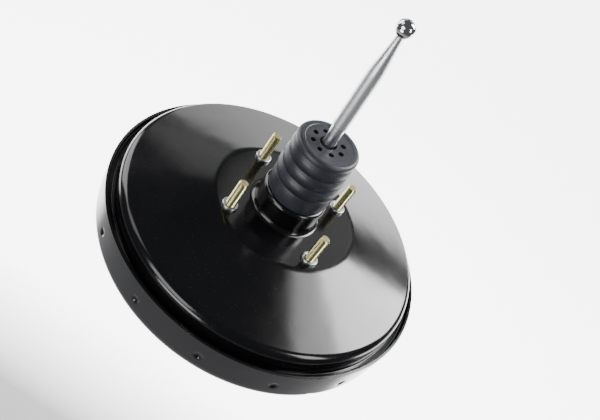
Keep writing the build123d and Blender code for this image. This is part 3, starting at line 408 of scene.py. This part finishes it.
# %% Front shell
rim_radius, rim_z = 135.0, -31.4
corner_radius, corner_z, corner_bend = 132.8, -63.1, 12.0
shelf_outer_radius, shelf_inner_radius, shelf_z = 107.0, 78.0, -75.6
face_radius, face_z = 60.0, -110.0
pilot_radius, pilot_depth = 20.0, 6.0
front_sheet = 2.0
front_corners = [
    (rim_radius, rim_z, 0),
    (corner_radius, corner_z, corner_bend),
    (shelf_outer_radius, shelf_z, 4.0),
    (shelf_inner_radius, shelf_z, 4.0),
    (face_radius, face_z, 6.0),
    (pilot_radius, face_z, 2.4),
    (pilot_radius, face_z + pilot_depth, 0),
]
bm = press_sheet("front shell", front_corners, steps=600, segments=16, wall_cuts=17)


# %% [markdown]
# The punch is worked out like a real one: its ball follows from the dent's half width and depth,
# and it stands off the sheet by the ball's radius less the depth.


# %% Dents in the wall and pockets in the corner
def punch(bm, half_width, depth, radius, height, slope, angles):
    """Press dents with a ball, its stroke tilted by slope below the horizontal."""
    ball = (half_width**2 + depth**2) / (2 * depth) * MM
    stroke = Vector((cos(radians(slope)), 0, -sin(radians(slope))))
    reach = Vector((radius * MM, 0, height * MM)) + stroke * (ball - depth * MM)
    for angle in angles:
        middle = Matrix.Rotation(radians(angle), 3, "Z") @ reach
        for vert in bm.verts:
            away = vert.co - middle
            if away.length < ball:
                vert.co = middle + away.normalized() * ball
    print("dents pressed:", len(angles))


dent_count, first_dent = 14, 221.0
dent_angles = [first_dent + number * 360 / dent_count for number in range(dent_count)]
punch(bm, half_width=3.2, depth=1.8, radius=133.92, height=-47.0, slope=0, angles=dent_angles)
first_pocket, pocket_pitch = 134.5, 28.5
pocket_angles = [
    first_pocket + opposite + step for opposite in (0, 180) for step in (0, pocket_pitch)
]
punch(bm, half_width=6.5, depth=3.2, radius=131.3, height=-62.1, slope=34, angles=pocket_angles)
front_shell = finish_piece(
    "front_shell_pressing", bm, stove_enamel, "shell", ["front_shell"], crease=50
)
give_thickness(front_shell, front_sheet, edge_bend=0.6)

# %% [markdown]
# ## Studs
# The shells are bolted up with M8 studs: four to the firewall and two to the master cylinder.
# Each is pressed into the sheet against a round collar. A thread is a ramp that climbs one pitch
# in a turn, so its flanks are one small wire that is spun and lifted at the same time. The ends
# are cut square with a plane, and the points near the tip are drawn in to the chamfer.


# %% Threaded stud
stud_radius, thread_pitch, thread_depth = 4.0, 1.25, 0.5
thread_steps, tip_chamfer = 28, 0.9


def thread_stud(bm, x, y, low, high, tip_up):
    """One stud with a rolled thread between two heights, its tip chamfered."""
    stud = bmesh.new()
    start = low - thread_pitch
    root_radius = stud_radius - thread_depth
    flanks = [
        (root_radius, start),
        (stud_radius, start + thread_pitch * 0.45),
        (stud_radius, start + thread_pitch * 0.55),
        (root_radius, start + thread_pitch),
    ]
    points = [stud.verts.new((r * MM, 0, z * MM)) for r, z in flanks]
    for first, second in zip(points, points[1:]):
        stud.edges.new((first, second))
    turns = int((high - low) / thread_pitch) + 2
    bmesh.ops.spin(
        stud, geom=stud.verts[:] + stud.edges[:], cent=(0, 0, 0), axis=AXIS,
        dvec=(0, 0, thread_pitch * MM / thread_steps), angle=2 * pi * turns,
        steps=thread_steps * turns, use_duplicate=False,
    )
    bmesh.ops.remove_doubles(stud, verts=stud.verts, dist=0.01 * MM)
    for height, side in ((low, -1), (high, 1)):
        cut = bmesh.ops.bisect_plane(
            stud, geom=stud.verts[:] + stud.edges[:] + stud.faces[:], plane_co=(0, 0, height * MM),
            plane_no=(0, 0, side), clear_outer=True,
        )
        rim = [part for part in cut["geom_cut"] if isinstance(part, bmesh.types.BMEdge)]
        bmesh.ops.edgeloop_fill(stud, edges=rim)
    tip = high if tip_up else low
    for vert in stud.verts:
        from_tip = abs(vert.co.z - tip * MM)
        limit = (stud_radius - tip_chamfer) * MM + from_tip
        across = Vector((vert.co.x, vert.co.y, 0)).length
        if across > limit:
            vert.co.x *= limit / across
            vert.co.y *= limit / across
    bmesh.ops.recalc_face_normals(stud, faces=stud.faces)
    bmesh.ops.translate(stud, verts=stud.verts, vec=(x * MM, y * MM, 0))
    loose = bpy.data.meshes.new("one stud")
    stud.to_mesh(loose)
    stud.free()
    bm.from_mesh(loose)
    bpy.data.meshes.remove(loose)


firewall_places = [(x, y) for y in (-35, 35) for x in (-36, 36)]
cylinder_places = [(-43, 0), (43, 0)]
bm = bmesh.new()
for x, y in firewall_places:
    thread_stud(bm, x, y, low=-9.6, high=24.0, tip_up=True)
finish_piece(
    "firewall_studs_threaded", bm, yellow_zinc, "shell", ["firewall_studs"], crease=40
)
bm = bmesh.new()
for x, y in cylinder_places:
    thread_stud(bm, x, y, low=-135.0, high=-102.1, tip_up=False)
finish_piece(
    "cylinder_studs_threaded", bm, yellow_zinc, "shell", ["master_cylinder_studs"],
    crease=40,
)

# %% [markdown]
# The collar is upset from the same bar, and the head lies behind the reinforcement plate. Both
# are short round steps, so one wire each is turned and copied to its places. The collar has clear
# zinc that looks whiter than the thread, because its flat top faces the lamps.


# %% Collars and heads
def turned_copies(corners, places):
    """The same small turned form at several places on the shell."""
    bm = bmesh.new()
    draw_wire(bm, corners, segments=5)
    lathe(bm, 48)
    first = bm.verts[:] + bm.edges[:] + bm.faces[:]
    for x, y in places[1:]:
        copy = bmesh.ops.duplicate(bm, geom=first)["geom"]
        verts = [part for part in copy if isinstance(part, bmesh.types.BMVert)]
        shift = ((x - places[0][0]) * MM, (y - places[0][1]) * MM, 0)
        bmesh.ops.translate(bm, verts=verts, vec=shift)
    bmesh.ops.translate(bm, verts=bm.verts, vec=(places[0][0] * MM, places[0][1] * MM, 0))
    return bm


hole_radius, collar_radius, head_radius, face_head_radius = 3.6, 6.5, 6.4, 6.8
stud_collar_corners = [
    (hole_radius, pad_z, 0), (collar_radius, pad_z, 0), (collar_radius, 0.0, 0.7),
    (4.6, 0.0, 0.3), (hole_radius, -0.4, 0),
]
bm = turned_copies(stud_collar_corners, firewall_places)
finish_piece("stud_collars", bm, clear_zinc, "shell", crease=50)
head_corners = [
    (hole_radius, -9.7, 0), (head_radius, -9.7, 0.5), (head_radius, -6.7, 0.3),
    (hole_radius, -6.7, 0),
]
bm = turned_copies(head_corners, firewall_places)
finish_piece("firewall_stud_heads", bm, clear_zinc, "shell", crease=50)
face_head_corners = [
    (hole_radius, -105.0, 0), (face_head_radius, -105.0, 0.3), (face_head_radius, -102.0, 0.5),
    (hole_radius, -102.0, 0),
]
bm = turned_copies(face_head_corners, cylinder_places)
finish_piece("cylinder_stud_heads", bm, clear_zinc, "shell", crease=50)

# %% [markdown]
# ## Dust boot
# The boot keeps dirt off the valve body, which slides in and out through the neck. It is moulded
# in one piece: a bead under the neck's lip, a plain cuff, three folds, and a domed cap with a hole
# for the rod and eight breather holes. The folds let the upper part lean with the rod. In use its
# ends move apart, so the scene makes it in three: a collar that stays with the shell, bellows that
# also stay with the shell, and a cap that rides on the valve body. Each fold is a point rounded
# with a wide bend, and a narrow slit is the crease between two folds.

# %% Collar that stays with the shell
collar_corners = [
    (20.1, 18.3, 0), (20.1, 14.8, 0.3), (23.4, 14.8, 0.4), (23.4, 16.2, 0.3), (22.1, 16.2, 0.2),
    (22.1, 18.3, 0), (24.5, 18.3, 0.5), (24.75, 19.6, 0), (22.6, 19.6, 0),
]
bm = bmesh.new()
draw_wire(bm, collar_corners, segments=4)
lathe(bm, 160)
finish_piece("boot_collar", bm, boot_rubber, "shell", ["dust_boot"])

# %% [markdown]
# Only the part above the cuff leans. Each point there is turned about the cuff's top, and over a
# few millimetres the turn grows from nothing to the full lean, so that the cuff stays upright.


# %% Leaning bellows
cuff_top, lean_blend = 33.4, 2.0
lean = radians(2.18)
fold_count, fold_pitch = 3, 10.9
crease_radius, crease_step = 25.2, 0.25
bellows_low, bellows_high, bellows_bore = 19.5, 65.9, 22.6


def lean_bellows(bm):
    """Lean every point above the cuff about the cuff's top, and leave the cuff upright."""
    for vert in bm.verts:
        height = vert.co.z - cuff_top * MM
        if height > -lean_blend * MM:
            part = min(1.0, (height + lean_blend * MM) / (2 * lean_blend * MM))
            turn = Matrix.Rotation(-lean * part, 3, "Y")
            vert.co = turn @ Vector((vert.co.x, vert.co.y, height))
            vert.co.z += cuff_top * MM


creases = [
    (crease_radius - crease_step * number, cuff_top + fold_pitch * number)
    for number in range(fold_count + 1)
]
bellows_corners = [(24.72, bellows_low, 0), (26.2, 26.0, 34.0)]
for low, high in zip(creases, creases[1:]):
    middle_radius, middle_height = (low[0] + high[0]) / 2, (low[1] + high[1]) / 2
    bellows_corners += [
        (low[0] + 0.1, low[1] - 0.25, 0.15),
        (low[0] - 0.7, low[1], 0.1),
        (low[0] + 0.1, low[1] + 0.25, 0.15),
        (middle_radius + 2.2, middle_height, 9.0),
    ]
bellows_corners += [(24.45, bellows_high, 0), (bellows_bore, bellows_high, 0)]
for low, high in zip(creases[-2::-1], creases[::-1]):
    middle_radius, middle_height = (low[0] + high[0]) / 2, (low[1] + high[1]) / 2
    bellows_corners += [(middle_radius - 1.0, middle_height, 9.0), (low[0] - 2.2, low[1], 0.6)]
bellows_corners += [(bellows_bore, bellows_low, 0)]
bm = bmesh.new()
draw_wire(bm, bellows_corners, segments=16)
lathe(bm, 200)
lean_bellows(bm)
bellows = finish_piece(
    "boot_bellows", bm, boot_rubber, "shell", ["dust_boot"], crease=40
)
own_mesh(bellows)

# %% Cap that rides on the valve body
cap_radius, cap_top, cap_face, cap_floor = 25.5, 71.5, 71.2, 66.4
cap_bore, skirt_low = 19.3, 63.5
cap_corners = [
    (cap_bore, skirt_low, 0.3), (22.2, skirt_low, 0.3), (23.4, 65.8, 0), (24.0, 66.1, 0.4),
    (cap_radius, 66.1, 1.0), (cap_radius, cap_top, 3.2), (20.0, cap_top, 0.5),
    (19.6, cap_face, 0.5), (0, cap_face, 0), (0, cap_floor, 0), (cap_bore, cap_floor, 0.2),
]
bm = bmesh.new()
draw_wire(bm, cap_corners, segments=10)
lathe(bm, 160)
lean_bellows(bm)
boot_cap = finish_piece(
    "boot_cap", bm, boot_rubber, "power_piston", ["dust_boot"], crease=40
)

# %% [markdown]
# The cap's holes are punched with round cutters through a Boolean modifier, which is applied at
# once, and the cutters are removed. The ring of holes is centred on the leaning rod.


# %% Holes in the cap
def drill(piece, holes, low, high):
    """Cut round holes (x, y, radius) through a piece, from one height to another."""
    cutters = bmesh.new()
    for x, y, radius in holes:
        place = Matrix.Translation((x * MM, y * MM, (low + high) / 2 * MM))
        bmesh.ops.create_cone(
            cutters, cap_ends=True, segments=40, radius1=radius * MM, radius2=radius * MM,
            depth=(high - low) * MM, matrix=place,
        )
    mesh = bpy.data.meshes.new("drills")
    cutters.to_mesh(mesh)
    cutters.free()
    drills = bpy.data.objects.new("drills", mesh)
    bpy.context.scene.collection.objects.link(drills)
    cut = piece.modifiers.new("drilled", "BOOLEAN")
    cut.object = drills
    cut.solver = "EXACT"
    evaluated = piece.evaluated_get(bpy.context.evaluated_depsgraph_get())
    drilled = bpy.data.meshes.new_from_object(evaluated)
    piece.modifiers.remove(cut)
    bpy.data.objects.remove(drills)
    piece.data = drilled
    print(piece.name, "after drilling:", len(drilled.polygons))


pivot_height = 8.0
rod_at_cap = -(cap_top - pivot_height) * tan(lean)
rod_hole_radius = 6.9
breather_count, first_breather = 8, 120
breather_circle, breather_radius = 12.4, 2.2
holes = [(rod_at_cap, 0, rod_hole_radius)]
for number in range(breather_count):
    angle = radians(first_breather + 360 / breather_count * number)
    holes.append(
        (rod_at_cap + breather_circle * cos(angle), breather_circle * sin(angle), breather_radius)
    )
drill(boot_cap, holes, low=60.0, high=75.0)
rounding = boot_cap.modifiers.new("soft hole edges", "BEVEL")
rounding.width = 0.25 * MM
rounding.segments = 2
rounding.limit_method = "ANGLE"
rounding.angle_limit = radians(60)
weigh_normals(boot_cap)

# %% [markdown]
# ## Input rod and ball rod
# The pedal pushes on a steel ball. Its rod has a satin turned body, a long taper and a thin neck,
# and is pressed over a thinner zinc plated rod that goes through the boot to the valve. The two
# are turned upright about their own axis and then leaned together, because the ball joint inside
# the valve lets them lean. Spinning first and tilting after keeps every section round.

# %% Rod's shank
pivot = Vector((0, 0, pivot_height * MM))


def lean_over(bm):
    """From upright on the origin to the rod's place: leaned, with its front ball on the pivot."""
    bmesh.ops.rotate(bm, verts=bm.verts, cent=(0, 0, 0), matrix=Matrix.Rotation(-lean, 3, "Y"))
    bmesh.ops.translate(bm, verts=bm.verts, vec=pivot)


front_ball_radius, shank_neck_radius, shank_radius = 5.0, 3.2, 5.2
groove_radius, groove_low, groove_high = 4.65, 44.0, 45.3
spigot_radius, spigot_low, spigot_top = 4.0, 81.2, 95.3
shank_corners = [
    (0, -front_ball_radius, 0), (front_ball_radius, -front_ball_radius, 4.9),
    (front_ball_radius, 3.84, 0), (shank_neck_radius, 3.84, 0), (shank_neck_radius, 12.0, 1.0),
    (shank_radius, 16.0, 1.0), (shank_radius, groove_low, 0), (groove_radius, groove_low, 0),
    (groove_radius, groove_high, 0), (shank_radius, groove_high, 0),
    (shank_radius, spigot_low, 0.2), (spigot_radius, spigot_low, 0),
    (spigot_radius, spigot_top, 0.4), (0, spigot_top, 0),
]
bm = bmesh.new()
draw_wire(bm, shank_corners, segments=8)
lathe(bm, 96)
lean_over(bm)
finish_piece(
    "input_rod_shank", bm, clear_zinc, "input_rod", ["input_rod"], crease=40
)

# %% Ball rod and pedal ball
body_radius, body_low, taper_start = 6.1, 81.3, 134.0
neck_low, ball_neck_radius, ball_neck_top = 162.0, 3.0, 167.2
socket_radius, socket_top = 4.05, 95.6
pedal_ball_radius, pedal_ball_height = 7.0, 173.0
body_corners = [
    (0, socket_top, 0), (socket_radius, socket_top, 0), (socket_radius, body_low, 0),
    (body_radius, body_low, 0.8), (body_radius, taper_start, 60.0),
    (ball_neck_radius, neck_low, 40.0), (ball_neck_radius, ball_neck_top, 0.6),
    (0, ball_neck_top, 0),
]
bm = bmesh.new()
draw_wire(bm, body_corners, segments=40)
lathe(bm, 96)
lean_over(bm)
finish_piece(
    "ball_rod_body", bm, satin_rod, "input_rod", ["pedal_rod"], crease=40
)
bm = bmesh.new()
bmesh.ops.create_uvsphere(bm, u_segments=96, v_segments=64, radius=pedal_ball_radius * MM)
bmesh.ops.translate(bm, verts=bm.verts, vec=(0, 0, pedal_ball_height * MM))
lean_over(bm)
finish_piece("pedal_ball", bm, polished_ball, "input_rod", crease=60)

# %% [markdown]
# ## Pieces that stay as built
# The sealed inner pieces, the check valve and the output rod are plain turned forms, so the solids
# of the frame are shown as they are. Each gets the finish of its own material. Seals, diaphragm
# and boot are rubber, plates are bare sheet steel, and the springs are oiled spring steel.

# %% Finishes for the built pieces
finish_of = {
    sheet_steel: (
        "rear_plate", "front_plate", "seal_retainer", "stop_key", "diaphragm_plate",
        "poppet_retainer", "rod_spring_washer", "output_rod_retainer", "spring_seat",
    ),
    spring_steel: (
        "rod_snap_ring", "return_spring", "poppet_spring", "valve_return_spring",
        "check_valve_spring",
    ),
    seal_rubber: (
        "neck_seal", "poppet_valve", "reaction_disc", "front_seal", "check_valve_grommet",
        "check_valve_disc",
    ),
    guide_plastic: ("neck_bearing", "rod_socket_liner"),
    black_nylon: ("check_valve_body", "check_valve_nipple"),
    clear_zinc: ("output_rod", "output_rod_adjuster", "input_rod", "pedal_rod"),
    yellow_zinc: ("firewall_studs", "master_cylinder_studs"),
    stove_enamel: ("rear_shell", "front_shell"),
    boot_rubber: ("dust_boot",),
    coated_fabric: ("diaphragm",),
    phenolic: ("valve_body",),
    plunger_aluminium: ("valve_plunger",),
    dark_felt: ("air_filter",),
}
for finish, names in finish_of.items():
    for name in names:
        built = nodes[name].data
        built.materials.clear()
        built.materials.append(finish)
print("nodes with a finish:", sum(len(names) for names in finish_of.values()), "of", len(nodes))

# %% [markdown]
# ## Lamps
# Gloss black shows nothing but what it mirrors, so the lamps draw the form. The cone mirrors a
# ring of directions beyond the shell. A large softbox there, to the right, gives the pale wedge
# on the lower right, and a smaller one above it lets the wedge fade out. Two low strips grey the
# far rim, and the gap between strip and softbox is the dark streak. A dim panel keeps the flat
# pad from going black. Boxes at the left draw the bright shoulder and the neck's crescent, one at
# the right draws its other crescent, and two on the camera's side light the boot and the rod.
# Each lamp is given by direction, distance, width and height in metres, and how bright it looks.


# %% Lamps
def toward(azimuth, elevation):
    """Unit vector of a direction: azimuth from +X towards +Y, and elevation above the floor."""
    flat = cos(radians(elevation))
    return Vector(
        (flat * cos(radians(azimuth)), flat * sin(radians(azimuth)), sin(radians(elevation)))
    )


def softbox(name, azimuth, elevation, distance, width, height, radiance):
    """A rectangular lamp that faces the shell, as bright as a white sheet of that radiance."""
    lamp = bpy.data.lights.new(name, "AREA")
    lamp.shape = "RECTANGLE"
    lamp.size, lamp.size_y = width, height
    lamp.energy = radiance * pi * width * height
    holder = bpy.data.objects.new(name, lamp)
    bpy.context.scene.collection.objects.link(holder)
    back = toward(azimuth, elevation)
    turn = back.to_track_quat("Z", "Y").to_matrix().to_4x4()
    holder.matrix_world = Matrix.Translation(back * distance) @ turn
    print(name, "at", [round(v, 2) for v in back * distance])


softbox("wedge softbox", 43, 36, 1.4, 0.54, 0.70, 24.0)
softbox("wedge top softbox", 41, 56, 1.4, 0.33, 0.34, 8.0)
softbox("right back strip", 72, 8, 1.6, 0.80, 0.48, 7.0)
softbox("left back strip", 104, 11, 1.6, 0.78, 0.66, 2.6)
softbox("left back panel", 116, 34, 1.6, 0.36, 0.48, 0.9)
softbox("left softbox", 153, 20, 1.4, 0.80, 1.0, 5.5)
softbox("dim middle panel", 80, 39, 1.6, 0.62, 0.55, 0.9)
softbox("right softbox", -20, 32, 1.2, 0.3, 0.5, 10.0)
softbox("left lower softbox", 184, 42, 1.4, 0.45, 0.6, 2.6)
softbox("camera side key", 240, 24, 1.8, 1.1, 0.8, 5.5)
softbox("low front softbox", 250, -8, 1.4, 0.8, 0.5, 8.0)

# %% [markdown]
# ## Floor
# The photograph's background is plain white. A light table gives that: matt white paper that is
# lit from below where the camera sees it. In front, out of view, the paper has no glow, and its
# colour is painted a darker grey as painted shade, because the shell's wall and the rods mirror
# that part, and a bright one would wash them out.
# It lies well below the part, so no shadow shows.

# %% Floor and room
floor_z, floor_half_width = -0.90, 4.0
floor_paper_painted_shade, tree, shader, place = new_finish("white_paper_with_painted_shade", Roughness=0.9)
along = add_node(tree, "ShaderNodeSeparateXYZ", [("Vector", place)])
front_to_back = add_node(
    tree, "ShaderNodeMapRange", [("Value", along.outputs["Y"])],
    From_Min=-0.1, From_Max=0.45, To_Min=0.0, To_Max=1.0,
)
# Painted shade: the paper's colour runs from a darker grey in front to white further back.
paper_tone_painted_shade = two_tones(tree, front_to_back.outputs["Result"], "#b8b8ba", "#f2f2f2")
tree.links.new(paper_tone_painted_shade, shader.inputs["Base Color"])
table_glow = add_node(
    tree, "ShaderNodeMapRange", [("Value", along.outputs["Y"])],
    From_Min=0.30, From_Max=0.52, To_Min=0.0, To_Max=6.0,
)
shader.inputs["Emission Color"].default_value = colour("#ffffff")
tree.links.new(table_glow.outputs["Result"], shader.inputs["Emission Strength"])
bm = bmesh.new()
bmesh.ops.create_grid(bm, x_segments=1, y_segments=1, size=floor_half_width)
bmesh.ops.translate(bm, verts=bm.verts, vec=(0, 0, floor_z))
mesh = bpy.data.meshes.new("studio floor")
bm.to_mesh(mesh)
bm.free()
mesh.materials.append(floor_paper_painted_shade)
floor = bpy.data.objects.new("studio_floor", mesh)
bpy.context.scene.collection.objects.link(floor)

world = bpy.data.worlds.new("dim room")
world.use_nodes = True
room = world.node_tree.nodes["Background"]
room.inputs["Color"].default_value = colour("#c8ccd0")
room.inputs["Strength"].default_value = 0.2
bpy.context.scene.world = world

# %% [markdown]
# ## Camera
# The camera's place was found by fitting one pinhole camera to the rim, the shoulder, the studs
# and the neck. It looks down from about 40 degrees, swung a little to the left, and is rolled so
# that the booster leans to the left in the picture.

# %% Camera
looked_at = Vector((0.010907, 0.001855, 0.002055))
camera_distance = 0.72546
camera_swing, camera_elevation, camera_roll = -4.5, 39.731, 37.487
camera_turn = (
    Matrix.Rotation(radians(camera_swing), 4, "Z")
    @ Matrix.Rotation(radians(90 - camera_elevation), 4, "X")
    @ Matrix.Rotation(radians(camera_roll), 4, "Z")
)
camera = bpy.data.cameras.new("camera")
camera.sensor_width = 36.0
camera.lens = 56.04
eye = bpy.data.objects.new("camera", camera)
bpy.context.scene.collection.objects.link(eye)
bpy.context.scene.camera = eye
back_along_sight = camera_turn.to_3x3() @ AXIS
eye.matrix_world = Matrix.Translation(looked_at + back_along_sight * camera_distance) @ camera_turn
print("camera at", [round(v, 3) for v in eye.matrix_world.translation])
